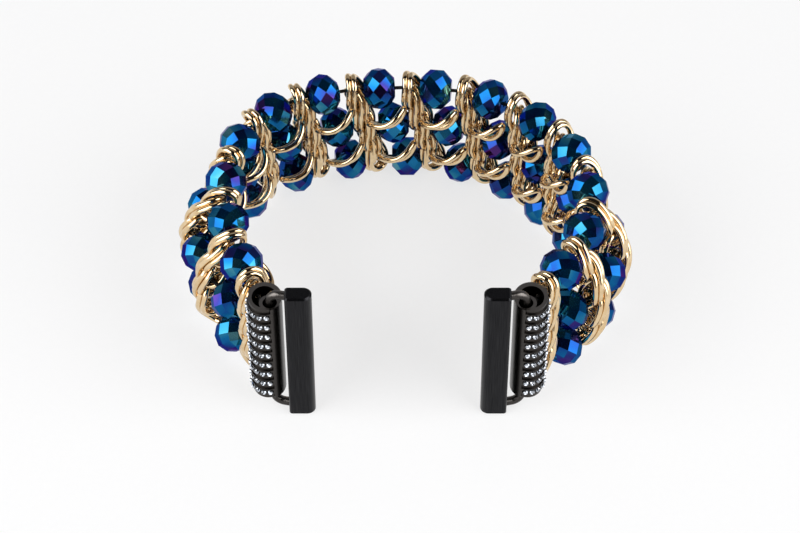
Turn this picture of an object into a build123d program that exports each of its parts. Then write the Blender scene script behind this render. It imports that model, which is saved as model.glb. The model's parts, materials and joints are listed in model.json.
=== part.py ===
"""Elastic bead watch band: three rows of faceted glass beads, gold chain rungs between the
bead columns, and a crystal-set barrel, wire bail and slide-in lug at each end.

Millimetres, +Z up. The band stands on its lower edge, as a bracelet stands on a table. The
lugs face -Y, the loop lies behind them, and the bead rows run one above the other. The origin
is the centre of the footprint, on the surface that the band stands on.
"""
from build123d import *
from math import atan2, cos, degrees, pi, radians, sin, sqrt
import os

# Bead columns
COLUMNS = 14
ROWS = 3
ROW_PITCH = 10.0
BEAD_DIAMETER = 8.5
BEAD_LENGTH = 6.25
BEAD_SIDES = 8
BEAD_BORE = 1.3
BEAD_BELT = 1.35        # half height of the belt of upright facets
BEAD_SHOULDER = 2.3     # where the second ring of facets ends

# Loop in plan: start of the top cord at the left barrel, then five tangent arcs (radius, turn)
LOOP_START = (-27.2, 15.2)
LOOP_HEADING = 117.3
LOOP_ARCS = ((57.6, 35.0), (24.0, 73.2), (103.7, 10.0), (32.9, 120.0), (45.0, 11.5))
ROW_LEAN = 2.9          # each lower row runs on by this much at the back of the loop
SIDE_BULGE = (0, 6.0, 5.2)      # how far each row stands out at the sides of the loop
SIDE_RUNGS = 3.5        # the sides end this many rungs from each barrel
RIGHT_TUCK = 0.9        # each lower row lies this much further in at the right of the back
BACK_DROOP = 1.95       # the back of the loop hangs this much lower than the lugs

# Gold chain
WIRE = 1.2
LINK_LENGTH = 10.0
LINK_WIDTH = 6.5
LINK_PITCH = 5.9
LINKS_PER_RUNG = 4
LINK_TWIST = 20.0       # neighbours turn this far to either side, so each passes through the next
LINK_SLACK = 0.25       # the links lean less than the cords' holes by this share
CROSS_LENGTH = 6.8
CROSS_WIDTH = 3.8
CROSS_OFFSET = 4.5      # the cross links lie this far inside the rungs
CROSS_FOOT = 0.1        # they rise from this share of a row above the lower row, on the rung before
CROSS_HEAD = 0.3        # to this share below the upper row, on the rung after
CROSS_ROLL = 30.0       # their outer side hangs lower by this angle

# Elastic cord
CORD_DIAMETER = 0.8
CORD_GAP = 0.4          # left open each side of a hinge line
KNOT_DIAMETER = 1.8

# Lug, bail and barrel
LUG_LENGTH = 32.4
LUG_DEPTH = 5.0
LUG_THICKNESS = 3.4
LUG_CENTRE = (18.2, 7.0)
LUG_EDGE = 0.6          # rounding of the face that shows beside the case
LUG_CHAMFER = 0.35
BAIL_WIRE = 1.7
BAIL_HALF_SPAN = 14.9
BAIL_BEND = 1.9
BAIL_SEAT = 3.0         # how deep each end sits in the lug
BAIL_SEAT_CLEARANCE = 0.05
BARREL_CENTRE = (24.6, 9.7)
BARREL_LENGTH = 24.6
BARREL_WIDTH = 6.6
BARREL_DEPTH = 7.4
BARREL_WALL = 1.0
POCKET_CENTRE = (23.5, 8.2)
POCKET_RADIUS = 1.35
POCKET_WALL = 0.65
KNOT_CENTRE = (25.4, 10.8)
CORD_HOLE = 1.2

# Crystals
CRYSTAL_ROWS = 9
CRYSTAL_COLUMNS = 6
CRYSTAL_ROW_PITCH = 2.62
CRYSTAL_FIRST_ANGLE = -98.0
CRYSTAL_LAST_ANGLE = 14.0
CRYSTAL_DIAMETER = 1.24
CRYSTAL_SIDES = 8
CROWN_HEIGHT = 0.3
CROWN_TAPER = 38.0
SEAT_DEPTH = 0.34
SEAT_CLEARANCE = 0.03
SEAT_FLOOR_GAP = 0.02   # the foot stands this far off the floor of its seat
GROOVE_WIDTH = 1.06
GROOVE_DEPTH = 0.32
GROOVE_MARGIN = 12.0    # the grooves run on by this angle past the last crystals

# Latch button in the lug
BUTTON_LENGTH = 6.6
BUTTON_WIDTH = 1.5
BUTTON_PROUD = 0.7
BUTTON_CHAMFER = 0.25
BUTTON_CLEARANCE = 0.05
LATCH_POCKET_DEPTH = 2.4
SPRING_LENGTH = 5.2
SPRING_WIDTH = 1.1
SPRING_RISE = 0.8
SPRING_THICKNESS = 0.15

MID_HEIGHT = LUG_LENGTH / 2


def loop_point(distance):
    """Return x, y and heading in degrees at a distance along the loop in plan."""
    x, y = LOOP_START
    heading = LOOP_HEADING
    left = distance
    last = len(LOOP_ARCS) - 1
    for index, (radius, turn) in enumerate(LOOP_ARCS):
        length = radius * radians(turn)
        step = left if index == last else min(left, length)
        swing = degrees(step / radius)
        chord = 2 * radius * sin(radians(swing) / 2)
        x += chord * cos(radians(heading - swing / 2))
        y += chord * sin(radians(heading - swing / 2))
        heading -= swing
        left -= step
        if left <= 0:
            break
    return x, y, heading


LOOP_LENGTH = sum(radius * radians(turn) for radius, turn in LOOP_ARCS)
COLUMN_PITCH = LOOP_LENGTH / COLUMNS


def swell(rung):
    """Return how far a rung is towards the back of the loop: 0 at the barrels, 1 at the back."""
    return sin(pi * rung / COLUMNS)


def stand_out(rung, row):
    """Return how far a row stands out from the top cord at a rung, negative where it lies in."""
    side = min(rung, COLUMNS - rung)
    out = SIDE_BULGE[row] * sin(pi * side / SIDE_RUNGS) if side < SIDE_RUNGS else 0
    past = max(rung - COLUMNS / 2, 0)
    return out - row * RIGHT_TUCK * sin(2 * pi * past / COLUMNS)


def plan_point(rung, row):
    """Return where the cord of a row passes a rung, seen from above."""
    x, y, heading = loop_point(rung * COLUMN_PITCH + row * ROW_LEAN * swell(rung))
    out = stand_out(rung, row)
    return Vector(x - out * sin(radians(heading)), y + out * cos(radians(heading)), 0)


def rung_point(rung, row):
    """Return the point where the cord of a row (0 top, 1 middle, 2 bottom) passes a rung.

    Neighbouring rows are always one row pitch apart along the rung, so a row that stands out
    or leans also hangs higher.
    """
    place = plan_point(rung, 0)
    z = MID_HEIGHT + ROW_PITCH - BACK_DROOP * swell(rung)
    for lower in range(1, row + 1):
        above = place
        place = plan_point(rung, lower)
        z -= sqrt(ROW_PITCH ** 2 - (place - above).length ** 2)
    return Vector(place.X, place.Y, z)


def column_heading(column):
    """Return the heading in degrees of a column, the mean of its three cords."""
    headings = []
    for row in range(ROWS):
        run = rung_point(column, row) - rung_point(column - 1, row)
        headings.append(degrees(atan2(run.Y, run.X)))
    return sum(headings) / ROWS


def bead_frame(column, row):
    """Return the frame of a bead: its centre, with local Z along the cord."""
    start = rung_point(column - 1, row)
    end = rung_point(column, row)
    return Plane(origin=(start + end) / 2, x_dir=(0, 0, 1), z_dir=end - start)


def rung_frame(rung, height):
    """Return the frame at a height on a rung, from -1 at the bottom cord to 1 at the top cord.

    The rung bows through its three cords. Local X points out of the loop, local Y up the rung.
    """
    top, middle, bottom = (rung_point(rung, row) for row in range(ROWS))
    if 0 < rung < COLUMNS:
        along = (rung_point(rung + 1, 1) - rung_point(rung - 1, 1)).normalized()
    else:
        heading = radians(loop_point(rung * COLUMN_PITCH)[2])
        along = Vector(cos(heading), sin(heading), 0)
    half = (top - bottom) / 2
    half -= along * half.dot(along) * LINK_SLACK
    bow = (top + bottom) / 2 - middle
    up = (half + bow * (2 * height)).normalized()
    out = up.cross(along).normalized()
    origin = middle + half * height + bow * height ** 2
    return Plane(origin=origin, x_dir=out, z_dir=out.cross(up))


def faceted_solid(rings, sides):
    """Return the convex solid through rings of (radius, height, half step), low to high.

    Neighbouring rings are half a step apart, so the faces between them are kites whose four
    corners lie in one plane, closed by triangles and a flat at each end.
    """
    last = len(rings) - 1

    def corner(ring, index):
        radius, height, half = rings[ring]
        angle = 2 * pi * (index + half / 2) / sides
        return Vector(radius * cos(angle), radius * sin(angle), height)

    faces = [[corner(ring, index) for index in range(sides)] for ring in (0, last)]
    for index in range(sides):
        for ring in range(1, last):
            wing = index + rings[ring][2]
            faces.append([corner(ring, index), corner(ring + 1, wing),
                          corner(ring, index + 1), corner(ring - 1, wing)])
        for end, ring in ((0, 1), (last, last - 1)):
            wing = index + rings[ring][2]
            faces.append([corner(end, wing - 1), corner(end, wing), corner(ring, index)])
    return Solid(Shell([Face(Wire.make_polygon(points, close=True)) for points in faces]))


def bead():
    """Return one faceted bead with its bore along Z."""
    girdle = BEAD_DIAMETER / 2
    belt = girdle * cos(pi / BEAD_SIDES)
    drop = (girdle - belt * cos(pi / BEAD_SIDES)) / BEAD_BELT
    shoulder = girdle - drop * BEAD_SHOULDER
    slope = (belt - shoulder * cos(pi / BEAD_SIDES)) / (BEAD_SHOULDER - BEAD_BELT)
    end = belt - slope * (BEAD_LENGTH / 2 - BEAD_BELT)
    rings = [(end, -BEAD_LENGTH / 2, 1), (shoulder, -BEAD_SHOULDER, 0), (belt, -BEAD_BELT, 1),
             (girdle, 0, 0),
             (belt, BEAD_BELT, 1), (shoulder, BEAD_SHOULDER, 0), (end, BEAD_LENGTH / 2, 1)]
    return faceted_solid(rings, BEAD_SIDES) - Cylinder(BEAD_BORE / 2, BEAD_LENGTH + 1)


def link(length, width):
    """Return one oval chain link lying in XY, its long way along Y."""
    bend = (width - WIRE) / 2
    straight = (length - width) / 2
    right = Line((bend, -straight), (bend, straight))
    top = ThreePointArc((bend, straight), (0, straight + bend), (-bend, straight))
    left = Line((-bend, straight), (-bend, -straight))
    bottom = ThreePointArc((-bend, -straight), (0, -straight - bend), (bend, -straight))
    path = Wire([right, top, left, bottom])
    section = Plane(origin=(bend, -straight, 0), z_dir=(0, 1, 0)) * Circle(WIRE / 2)
    return sweep(section, path=path)


def rung_links(rung, shape):
    """Return the interlocked links of one rung, from the top down."""
    links = []
    for index in range(LINKS_PER_RUNG):
        height = ((LINKS_PER_RUNG - 1) / 2 - index) * LINK_PITCH / ROW_PITCH
        twist = LINK_TWIST if index % 2 else -LINK_TWIST
        links.append(rung_frame(rung, height) * Rot(0, twist, 0) * shape)
    return links


def cross_links(column, shape):
    """Return the two links that rise from rung to rung between the rows of one column."""
    links = []
    for upper_row in (1, 0):
        foot = rung_frame(column - 1, CROSS_FOOT - upper_row)
        head = rung_frame(column, 1 - CROSS_HEAD - upper_row)
        run = head.origin - foot.origin
        out = (foot.x_dir + head.x_dir).normalized()
        centre = (foot.origin + head.origin) / 2 - out * CROSS_OFFSET
        frame = Plane(origin=centre, x_dir=out, z_dir=out.cross(run))
        links.append(frame * Rot(0, CROSS_ROLL, 0) * shape)
    return links


def rod(start, end, diameter):
    """Return a round rod between two points."""
    run = end - start
    return Plane(origin=start, z_dir=run) * Cylinder(
        diameter / 2, run.length, align=(Align.CENTER, Align.CENTER, Align.MIN))


def column_cords(column):
    """Return the three stretches of elastic cord that one column carries."""
    cords = []
    for row in range(ROWS):
        start = rung_point(column - 1, row)
        end = rung_point(column, row)
        back = (end - start).normalized() * CORD_GAP
        cords.append(rod(start + back, end - back, CORD_DIAMETER))
    return cords


def barrel_profile():
    """Return the section of the right barrel: shell, cord chamber and bail pocket."""
    centre = Pos(*BARREL_CENTRE)
    pocket = Pos(*POCKET_CENTRE)
    outer = centre * Ellipse(BARREL_WIDTH / 2, BARREL_DEPTH / 2)
    inner = centre * Ellipse(BARREL_WIDTH / 2 - BARREL_WALL, BARREL_DEPTH / 2 - BARREL_WALL)
    chamber = inner - pocket * Circle(POCKET_RADIUS + POCKET_WALL)
    return outer - chamber - pocket * Circle(POCKET_RADIUS)


def groove_ring():
    """Return one groove cutter: a thin ring sector on the crystal side of the barrel."""
    reach = BARREL_DEPTH
    outer = Ellipse(BARREL_WIDTH / 2 + 1, BARREL_DEPTH / 2 + 1)
    core = Ellipse(BARREL_WIDTH / 2 - GROOVE_DEPTH, BARREL_DEPTH / 2 - GROOVE_DEPTH)
    first = radians(CRYSTAL_FIRST_ANGLE - GROOVE_MARGIN)
    last = radians(CRYSTAL_LAST_ANGLE + GROOVE_MARGIN)
    middle = (first + last) / 2
    corners = [(0, 0)]
    for angle in (first, middle, last):
        corners.append((2 * reach * cos(angle), 2 * reach * sin(angle)))
    sector = make_face(Polyline(*corners, close=True))
    return extrude((outer - core) & sector, GROOVE_WIDTH / 2, both=True)


def crystal_frames():
    """Return the seat frames of all crystals on the right barrel, local Z straight out."""
    frames = []
    across = BARREL_WIDTH / 2
    deep = BARREL_DEPTH / 2
    step = (CRYSTAL_LAST_ANGLE - CRYSTAL_FIRST_ANGLE) / (CRYSTAL_COLUMNS - 1)
    for row in range(CRYSTAL_ROWS):
        height = MID_HEIGHT + (row - (CRYSTAL_ROWS - 1) / 2) * CRYSTAL_ROW_PITCH
        for column in range(CRYSTAL_COLUMNS):
            angle = radians(CRYSTAL_FIRST_ANGLE + column * step)
            x = BARREL_CENTRE[0] + across * cos(angle)
            y = BARREL_CENTRE[1] + deep * sin(angle)
            out = (cos(angle) / across, sin(angle) / deep, 0)
            frames.append(Plane(origin=(x, y, height), x_dir=(0, 0, 1), z_dir=out))
    return frames


def crystal():
    """Return one clear crystal: a low faceted crown over a short foot."""
    outline = RegularPolygon(CRYSTAL_DIAMETER / 2, CRYSTAL_SIDES)
    foot = extrude(outline, SEAT_FLOOR_GAP - SEAT_DEPTH)
    crown = extrude(outline, CROWN_HEIGHT, taper=CROWN_TAPER)
    return foot + crown


def barrel(lines, mirrored):
    """Return one barrel, drilled along the lines on which the three cords enter it."""
    body = Pos(0, 0, MID_HEIGHT) * extrude(barrel_profile(), BARREL_LENGTH / 2, both=True)
    groove = groove_ring()
    cutters = []
    for index in range(CRYSTAL_ROWS + 1):
        height = MID_HEIGHT + (index - CRYSTAL_ROWS / 2) * CRYSTAL_ROW_PITCH
        cutters.append(Pos(*BARREL_CENTRE, height) * groove)
    seat = Cylinder(CRYSTAL_DIAMETER / 2 + SEAT_CLEARANCE, 2 * SEAT_DEPTH)
    for frame in crystal_frames():
        cutters.append(frame * seat)
    body = body - cutters
    if mirrored:
        body = mirror(body, about=Plane.YZ)
    holes = [rod(start, end, CORD_HOLE) for start, end in lines]
    return body - holes


def cord_ends(lines):
    """Return the cord tails of one barrel, each ending in its knot in the chamber."""
    tails = []
    for start, end in lines:
        back = (end - start).normalized() * CORD_GAP
        tail = rod(start + back, end, CORD_DIAMETER)
        knot = Pos(end.X, end.Y, end.Z) * Sphere(KNOT_DIAMETER / 2)
        tails.append(tail + knot)
    return tails


def bail_direction():
    """Return the unit direction in plan from the bail's bar to its lug, right side."""
    x = LUG_CENTRE[0] - POCKET_CENTRE[0]
    y = LUG_CENTRE[1] - POCKET_CENTRE[1]
    return Vector(x, y, 0).normalized()


def bail_frame():
    """Return the bail's plane: local X towards the lug, local Y up."""
    towards = bail_direction()
    across = towards.cross(Vector(0, 0, 1))
    return Plane(origin=(*POCKET_CENTRE, MID_HEIGHT), x_dir=towards, z_dir=across)


def bail_reach():
    """Return the length of the bail's arms from the bar's axis to their ends."""
    face = LUG_CENTRE[0] + LUG_DEPTH / 2
    return (POCKET_CENTRE[0] - face) / -bail_direction().X + BAIL_SEAT


def bail():
    """Return the right bail: a bar through the barrel and an arm to each end of the lug."""
    reach = bail_reach()
    path = FilletPolyline((reach, -BAIL_HALF_SPAN), (0, -BAIL_HALF_SPAN), (0, BAIL_HALF_SPAN),
                          (reach, BAIL_HALF_SPAN), radius=BAIL_BEND)
    section = Plane(origin=(reach, -BAIL_HALF_SPAN, 0), z_dir=(-1, 0, 0)) * Circle(BAIL_WIRE / 2)
    return bail_frame() * sweep(section, path=path)


def lug():
    """Return the right lug: a rounded bar with a seat for each bail end and the latch pocket."""
    nose = LUG_THICKNESS / 2
    x, y = LUG_CENTRE
    block = Pos(x, y) * Rectangle(LUG_DEPTH, LUG_THICKNESS)
    corners = block.vertices()
    block = fillet(corners.filter_by(lambda corner: corner.X < x), nose * 0.96)
    face_corners = block.vertices().filter_by(lambda corner: corner.X > x + LUG_DEPTH / 4)
    block = fillet(face_corners, LUG_EDGE)
    body = Pos(0, 0, MID_HEIGHT) * extrude(block, LUG_LENGTH / 2, both=True)
    body = chamfer(body.faces().filter_by(Axis.Z).edges(), LUG_CHAMFER)
    reach = bail_reach() + BAIL_SEAT_CLEARANCE
    seats = []
    for side in (-1, 1):
        seat = Pos(reach, side * BAIL_HALF_SPAN, 0) * Rot(0, -90, 0) * Cylinder(
            BAIL_WIRE / 2 + BAIL_SEAT_CLEARANCE, BAIL_SEAT + 1,
            align=(Align.CENTER, Align.CENTER, Align.MIN))
        seats.append(bail_frame() * seat)
    slot = SlotOverall(BUTTON_LENGTH + 2 * BUTTON_CLEARANCE, BUTTON_WIDTH + 2 * BUTTON_CLEARANCE)
    return body - seats - latch_frame() * extrude(slot, -LATCH_POCKET_DEPTH)


def latch_frame():
    """Return the frame of the latch on the right lug: local Z out of its inner face."""
    x, y = LUG_CENTRE
    return Plane(origin=(x, y + LUG_THICKNESS / 2, MID_HEIGHT), x_dir=(0, 0, 1), z_dir=(0, 1, 0))


def latch_button():
    """Return the latch button, standing proud of the lug."""
    height = BUTTON_PROUD + LATCH_POCKET_DEPTH - SPRING_RISE - 2 * BUTTON_CLEARANCE
    shape = extrude(SlotOverall(BUTTON_LENGTH, BUTTON_WIDTH), height)
    shape = chamfer(shape.faces().sort_by(Axis.Z)[-1].edges(), BUTTON_CHAMFER)
    return latch_frame() * Pos(0, 0, BUTTON_PROUD - height) * shape


def latch_spring():
    """Return the arched leaf spring on the floor of the latch pocket."""
    half = SPRING_LENGTH / 2
    rise = SPRING_RISE - SPRING_THICKNESS
    lower = ThreePointArc((-half, 0), (0, rise), (half, 0))
    upper = ThreePointArc((-half, SPRING_THICKNESS), (0, SPRING_RISE), (half, SPRING_THICKNESS))
    ends = [Line(lower @ 0, upper @ 0), Line(lower @ 1, upper @ 1)]
    leaf = extrude(make_face([lower, upper, *ends]), SPRING_WIDTH / 2, both=True)
    floor = BUTTON_CLEARANCE - LATCH_POCKET_DEPTH
    return latch_frame() * Pos(0, 0, floor) * Rot(90, 0, 0) * leaf


def cord_lines(side):
    """Return the start and end of the three cords where they enter a barrel."""
    rung = 0 if side == "left" else COLUMNS
    sign = -1 if side == "left" else 1
    lines = []
    for row in range(ROWS):
        start = rung_point(rung, row)
        end = Vector(sign * KNOT_CENTRE[0], KNOT_CENTRE[1], start.Z)
        lines.append((start, end))
    return lines


def build():
    """Return every node of the band by name, as lists of solids."""
    nodes = {}
    one_bead = bead()
    one_link = link(LINK_LENGTH, LINK_WIDTH)
    one_cross = link(CROSS_LENGTH, CROSS_WIDTH)
    for column in range(1, COLUMNS + 1):
        beads = []
        for row in range(ROWS):
            turn = (37 * column + 17 * row) % (360 / BEAD_SIDES)
            beads.append(bead_frame(column, row) * Rot(0, 0, turn) * one_bead)
        nodes[f"beads_{column:02d}"] = beads
        links = cross_links(column, one_cross)
        if column < COLUMNS:
            links = rung_links(column, one_link) + links
        nodes[f"links_{column:02d}"] = links
        nodes[f"cords_{column:02d}"] = column_cords(column)
    one_crystal = crystal()
    crystals = [frame * one_crystal for frame in crystal_frames()]
    for side in ("left", "right"):
        lines = cord_lines(side)
        mirrored = side == "left"
        rung = 0 if mirrored else COLUMNS
        pieces = {"lug": [lug()], "bail": [bail()], "latch_button": [latch_button()],
                  "latch_spring": [latch_spring()], "crystals": crystals}
        for name, solids in pieces.items():
            if mirrored:
                solids = [mirror(solid, about=Plane.YZ) for solid in solids]
            nodes[f"{name}_{side}"] = solids
        nodes[f"barrel_{side}"] = [barrel(lines, mirrored)]
        nodes[f"cord_ends_{side}"] = cord_ends(lines)
        nodes[f"end_links_{side}"] = rung_links(rung, one_link)
    return nodes


def origin_shift(nodes):
    """Return the move that puts the origin under the middle of the footprint."""
    box = Compound([solid for solids in nodes.values() for solid in solids]).bounding_box()
    return Vector(-box.center().X, -box.center().Y, -box.min.Z)


def print_hinges(shift):
    """Print where the columns hinge on each other, and how far each hinge is bent at rest."""
    for rung in range(COLUMNS + 1):
        spot = rung_point(rung, 1) + shift
        before = column_heading(max(rung, 1))
        after = column_heading(min(rung + 1, COLUMNS))
        print(f"hinge {rung:02d} x {spot.X:.3f} y {spot.Y:.3f} bend {before - after:.2f}")


def main():
    """Build the nodes, set the origin and write one file for each node."""
    nodes = build()
    shift = origin_shift(nodes)
    os.makedirs("parts", exist_ok=True)
    for name, solids in nodes.items():
        moved = [Pos(*shift) * solid for solid in solids]
        export_step(Compound(moved) if len(moved) > 1 else moved[0], f"parts/{name}.step")
    print(f"shift {shift.X:.4f} {shift.Y:.4f} {shift.Z:.4f}")
    print_hinges(shift)


main()
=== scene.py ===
"""Elastic bead watch band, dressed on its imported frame.

The frame brings the beads, barrels, bails, lugs and latches at their real size. This script
gives them their finishes, and makes the twisted gold links, the cut crystals and the elastic
cords that take the place of their plain stand-ins. Metres, +Z up, in the frame's own axes.
"""
import json
import logging
from dataclasses import dataclass
from enum import Enum
from math import cos, pi, radians, sin

import bmesh
import bpy
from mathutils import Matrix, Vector


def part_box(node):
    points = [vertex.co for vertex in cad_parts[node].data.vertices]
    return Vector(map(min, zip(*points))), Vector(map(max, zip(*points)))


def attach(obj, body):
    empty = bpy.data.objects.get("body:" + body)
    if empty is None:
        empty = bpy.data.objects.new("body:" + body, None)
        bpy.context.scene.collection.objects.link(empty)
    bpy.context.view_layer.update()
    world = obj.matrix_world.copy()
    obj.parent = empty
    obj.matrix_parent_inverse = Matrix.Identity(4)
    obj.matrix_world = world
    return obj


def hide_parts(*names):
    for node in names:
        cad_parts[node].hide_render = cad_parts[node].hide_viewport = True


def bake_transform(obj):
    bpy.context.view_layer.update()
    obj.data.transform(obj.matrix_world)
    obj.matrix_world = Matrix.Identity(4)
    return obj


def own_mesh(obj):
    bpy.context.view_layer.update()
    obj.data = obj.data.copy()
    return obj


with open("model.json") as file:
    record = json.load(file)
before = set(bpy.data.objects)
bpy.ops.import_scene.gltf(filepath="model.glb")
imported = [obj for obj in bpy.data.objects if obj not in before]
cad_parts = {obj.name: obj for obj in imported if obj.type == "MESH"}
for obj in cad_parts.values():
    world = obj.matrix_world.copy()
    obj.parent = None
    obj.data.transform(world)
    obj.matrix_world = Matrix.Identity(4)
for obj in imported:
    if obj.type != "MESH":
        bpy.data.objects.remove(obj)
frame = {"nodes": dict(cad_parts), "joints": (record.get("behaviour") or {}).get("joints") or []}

MM = 0.001
RING_STEPS = 40  # points round the wire of one chain ring
WIRE_SIDES = 12  # sides of the wire
WAVE_PERIOD = pi / 10  # how often a wave texture repeats at a scale of 1
log = logging.getLogger("bead watch band")


class Side(Enum):
    """The two ends of the band."""

    LEFT = "left"
    RIGHT = "right"

    @property
    def sign(self) -> int:
        """Which way along X the end lies."""
        return -1 if self is Side.LEFT else 1


class Slot(Enum):
    """The record's material slots for the made pieces; nothing in this script reads them."""

    CHAIN = "gold_chain"
    CORD = "elastic_cord"
    CRYSTAL = "crystal"
    SPRING = "spring_steel"


def linear(hex_colour: str) -> tuple[float, float, float, float]:
    """Turn an sRGB hex colour into the linear values that a socket takes.

    Args:
        hex_colour: Six hex digits with a leading #.

    Returns:
        Linear red, green, blue and an alpha of 1.
    """
    values = []
    for start in (1, 3, 5):
        level = int(hex_colour[start:start + 2], 16) / 255
        values.append(level / 12.92 if level <= 0.04045 else ((level + 0.055) / 1.055) ** 2.4)
    return (*values, 1.0)


def add_node(tree: bpy.types.NodeTree, kind: str, settings: dict | None = None,
             inputs: dict | None = None) -> bpy.types.Node:
    """Add one node to a tree.

    Args:
        tree: The tree that takes the node.
        kind: The node's type name.
        settings: Properties of the node by name.
        inputs: Values, or sockets to link from, by the input's name or number.

    Returns:
        The new node.
    """
    node = tree.nodes.new(kind)
    for name, value in (settings or {}).items():
        setattr(node, name, value)
    for name, value in (inputs or {}).items():
        if isinstance(value, bpy.types.NodeSocket):
            tree.links.new(value, node.inputs[name])
        else:
            node.inputs[name].default_value = value
    return node


def set_ramp(node: bpy.types.Node, stops: list[tuple[float, str]]) -> None:
    """Give a colour ramp its stops.

    Args:
        node: The Color Ramp node.
        stops: Places from 0 to 1 and their sRGB hex colours.
    """
    elements = node.color_ramp.elements
    while len(elements) > 1:
        elements.remove(elements[-1])
    elements[0].position = stops[0][0]
    elements[0].color = linear(stops[0][1])
    for place, colour in stops[1:]:
        elements.new(place).color = linear(colour)


@dataclass(frozen=True)
class Finish:
    """A surface finish: what the real material is, and the sockets that are the same all over."""

    name: str
    metallic: float = 0.0
    roughness: float = 0.4

    def material(self) -> bpy.types.Material:
        """Build the material the first time it is asked for.

        Returns:
            The finish's one material.
        """
        made = bpy.data.materials.get(self.name)
        if made:
            return made
        made = bpy.data.materials.new(self.name)
        made.use_nodes = True
        tree = made.node_tree
        shader = tree.nodes["Principled BSDF"]
        shader.inputs["Metallic"].default_value = self.metallic
        shader.inputs["Roughness"].default_value = self.roughness
        place = add_node(tree, "ShaderNodeTexCoord")
        self.paint(tree, shader, place)
        return made

    def paint(self, tree: bpy.types.NodeTree, shader: bpy.types.Node,
              place: bpy.types.Node) -> None:
        """Add the finish's own pattern.

        Args:
            tree: The material's node tree.
            shader: The tree's Principled BSDF.
            place: The tree's Texture Coordinate node.
        """
        raise NotImplementedError

    def dress(self, *objects: bpy.types.Object) -> None:
        """Give objects this finish as their only material.

        Args:
            objects: The objects, each with a mesh.
        """
        for thing in objects:
            thing.data.materials.clear()
            thing.data.materials.append(self.material())


@dataclass(frozen=True)
class MirrorCoatedGlass(Finish):
    """Cut glass with a vacuum-coated blue mirror film.

    The film gives each facet its own tone, from teal over royal blue to violet, and turns pale
    violet where it is seen at a low angle. The glass is polished, so facets reflect sharply.
    """

    name: str = "mirror-coated cut glass"
    metallic: float = 0.93
    roughness: float = 0.05
    film_patch: float = 9.0 * MM
    facet_share: float = 0.9
    edge_tint: str = "#A79FCB"

    def paint(self, tree: bpy.types.NodeTree, shader: bpy.types.Node,
              place: bpy.types.Node) -> None:
        """Colour each facet by the way it faces on the bead and by where the bead lies.

        Args:
            tree: The material's node tree.
            shader: The tree's Principled BSDF.
            place: The tree's Texture Coordinate node.
        """
        patch = add_node(tree, "ShaderNodeVectorMath", {"operation": "SCALE"},
                         {0: place.outputs["Object"], "Scale": 1 / self.film_patch})
        spread = add_node(tree, "ShaderNodeVectorMath", {"operation": "SCALE"},
                          {0: place.outputs["Normal"], "Scale": self.facet_share})
        both = add_node(tree, "ShaderNodeVectorMath", {"operation": "ADD"},
                        {0: patch.outputs[0], 1: spread.outputs[0]})
        film = add_node(tree, "ShaderNodeTexNoise", {"noise_dimensions": "3D"},
                        {"Vector": both.outputs[0], "Scale": 1.0, "Detail": 1.0})
        ramp = add_node(tree, "ShaderNodeValToRGB", None, {0: film.outputs[0]})
        set_ramp(ramp, [(0.27, "#4A2A6A"), (0.35, "#26286A"), (0.43, "#123F80"), (0.54, "#0E5A8C"),
                        (0.65, "#2A7390"), (0.76, "#5C98A4")])
        tree.links.new(ramp.outputs[0], shader.inputs["Base Color"])
        shader.inputs["Specular Tint"].default_value = linear(self.edge_tint)


@dataclass(frozen=True)
class GoldPlate(Finish):
    """Brass chain under pale champagne gold plate, tumbled bright.

    Bright creamy highlights and brown hollows, with the faint waviness of drawn wire.
    """

    name: str = "champagne gold plate"
    metallic: float = 1.0
    roughness: float = 0.08
    wire_wave: float = 1.6 * MM
    wave_height: float = 0.02 * MM

    def paint(self, tree: bpy.types.NodeTree, shader: bpy.types.Node,
              place: bpy.types.Node) -> None:
        """Vary the plate's colour a little and roll the surface as drawn wire is.

        Args:
            tree: The material's node tree.
            shader: The tree's Principled BSDF.
            place: The tree's Texture Coordinate node.
        """
        wave = add_node(tree, "ShaderNodeTexNoise", None,
                        {"Vector": place.outputs["Object"], "Scale": 1 / self.wire_wave,
                         "Detail": 2.0})
        ramp = add_node(tree, "ShaderNodeValToRGB", None, {0: wave.outputs[0]})
        set_ramp(ramp, [(0.3, "#D8BA8E"), (0.7, "#E6CFA9")])
        tree.links.new(ramp.outputs[0], shader.inputs["Base Color"])
        bump = add_node(tree, "ShaderNodeBump", None,
                        {"Strength": 0.5, "Distance": self.wave_height,
                         "Height": wave.outputs[0]})
        tree.links.new(bump.outputs[0], shader.inputs["Normal"])


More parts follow.
